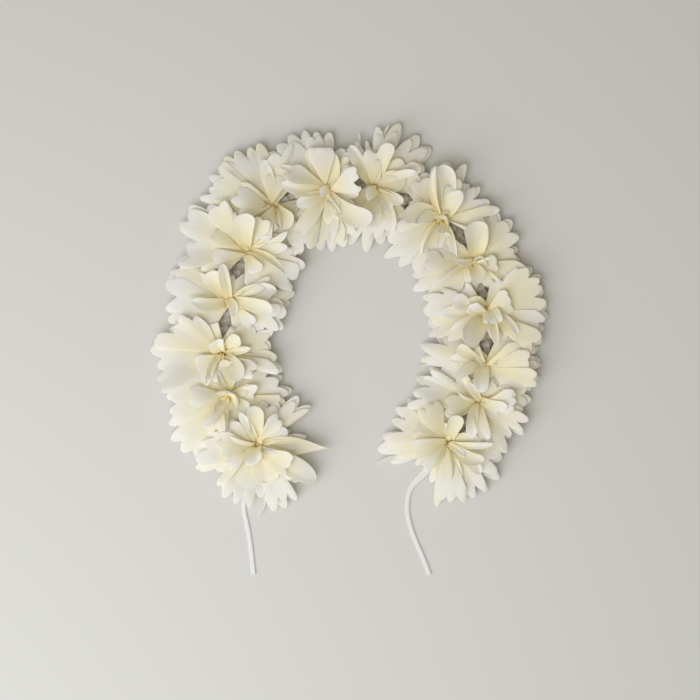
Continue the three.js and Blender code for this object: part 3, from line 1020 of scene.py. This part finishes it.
def single_petal(seat, row, chance):
    """A single petal. Its middle line runs from the pinched root to the tip, bowed sideways, and climbs
    as the reach times (rise times s plus half the droop times s squared) with s the share of the way. Its
    half width grows up to the widest place and closes to a round tip that is slanted. Its cross row is an
    arc of the wrap angle plus a fold along a crease, and it is turned about the middle line by the
    tilt."""
    x, y, heading, seen_length, width, form_name = row
    form = FORMS[form_name]
    root = np.array([x, y])
    tip = root + seen_length * pointing(heading)
    root = form.pull * root
    reach = np.linalg.norm(tip - root)
    ahead = (tip - root) / reach
    side = np.array([-ahead[1], ahead[0]])
    out = (1 - (1 - np.linspace(0, 1, PETAL_ROWS)) ** TIP_CROWDING)[:, None]
    rise = form.rise * chance.uniform(*RISE_RANGE) * min(1.0, LONG_PETAL / reach)
    droop = form.droop * chance.uniform(*DROOP_RANGE)
    climb = form.level + reach * out * (rise + 0.5 * droop * out)
    slope = np.arctan(rise + droop * out)
    widening = form.root + (1 - form.root) * np.sin(np.pi / 2 * np.minimum(out / form.widest, 1))
    closing = np.clip((out - form.tip) / (1 - form.tip), 0, 1)
    half = 0.5 * width * widening * (1 - closing ** TIP_POWER) ** form.point
    across = np.linspace(-1, 1, PETAL_COLUMNS)[None, :]
    arc = np.radians(max(form.wrap, LEAST_WRAP)) * (1 - OPENING * out) / 2
    fold = np.radians(form.fold) / 2
    crease = np.abs(across - chance.uniform(-CREASE_PLACE, CREASE_PLACE))
    sideways = half / arc * np.sin(arc * across) * np.cos(fold)
    upward = half / arc * (1 - np.cos(arc * across)) + half * crease * np.sin(fold)
    wave = np.sin(EDGE_WAVES * np.pi * out + chance.uniform(*WAVE_STARTS))
    upward = upward + EDGE_WAVE * width * wave * across ** 2 * out
    turn = np.radians(form.tilt * chance.choice([-1, 1])) * out ** TILT_POWER
    sideways, upward = (sideways * np.cos(turn) - upward * np.sin(turn),
                        sideways * np.sin(turn) + upward * np.cos(turn))
    sideways = sideways + BEND * chance.uniform(-1, 1) * reach * out * (1 - out)
    outwards = out * reach + SLANT * chance.uniform(-1, 1) * half * across * out - upward * np.sin(slope)
    plan = seat.middle + root + outwards[..., None] * ahead + sideways[..., None] * side
    height = climb + upward * np.cos(slope)
    points = np.concatenate([plan, height[..., None]], axis=2)
    flat = np.stack(np.broadcast_arrays(half * across, out * reach, heading), axis=-1)
    shares = np.broadcast_to(out, height.shape)
    # A form's tone is painted light above zero and painted shade below it; the random shift is the petal's
    # own tone.
    tones_and_shade = np.full(height.shape, form.tone + chance.uniform(-TONE_RANGE, TONE_RANGE))
    return Patch(points * MM, shares, flat * MM, tones_and_shade, False)


def petal(seat, row, chance):
    """A broad petal with a lobed edge, or a single petal of another form."""
    if row[-1] == "broad":
        return lobed_petal(seat, row, chance)
    return single_petal(seat, row, chance)


print("width of a broad petal's lobe:", BROAD_LOBE, "mm")

# %% [markdown]
# ## The small petals
#
# A few more petals, drawn by chance from a fixed seed, fill in under the listed ones of each flower. All
# petals of a heart make one piece, and like a disc its model's part is hidden and the size of its strip
# of cloth is worked out.

# %% Small petals
PETAL_SEED = 3
FILLERS = 4
FILLER_TURN = 28.0
FILLER_FORMS = ("broad", "under", "broad", "broad")
FILLER_REACH = (12.0, 19.0)
FILLER_WIDTH = (9.0, 15.0)
FILLER_ROOT = 3.0
FILLER_SIDES = np.array([[-0.5], [0.0], [0.5]])


def filler_rows(seat, chance):
    """Rows for the petals that fill in under the listed ones: even headings, each turned a little. One
    whose middle or sides would lie over a window where the stem shows is left out."""
    heading = 360 / FILLERS * np.arange(FILLERS) + chance.uniform(-FILLER_TURN, FILLER_TURN, FILLERS)
    reach = chance.uniform(*FILLER_REACH, FILLERS)
    width = chance.uniform(*FILLER_WIDTH, FILLERS)
    sides = heading + np.degrees(width / reach)[None] * FILLER_SIDES
    clear = np.array([window_at(seat, turned(seat, side)) for side in sides]).min(axis=0) > reach
    form = chance.choice(FILLER_FORMS, FILLERS)
    x, y = chance.uniform(-FILLER_ROOT, FILLER_ROOT, (2, FILLERS))
    return [row for row, kept in zip(zip(x, y, heading, reach, width, form), clear) if kept]


for seat in seats:
    chance = np.random.default_rng([seat.number, PETAL_SEED])
    rows = [*SMALL_PETALS[seat.number - 1], *filler_rows(seat, chance)]
    patches = [petal(seat, row, chance) for row in rows]
    piece = make_piece(f"petals_{seat.number:02d}_inner", patches, petal_cloth)
    thicken(piece, SHEET_THICKNESS)
    declare_cloth(patches, f"flower_{seat.number:02d}_inner")
print("hearts made for", len(seats), "flowers")
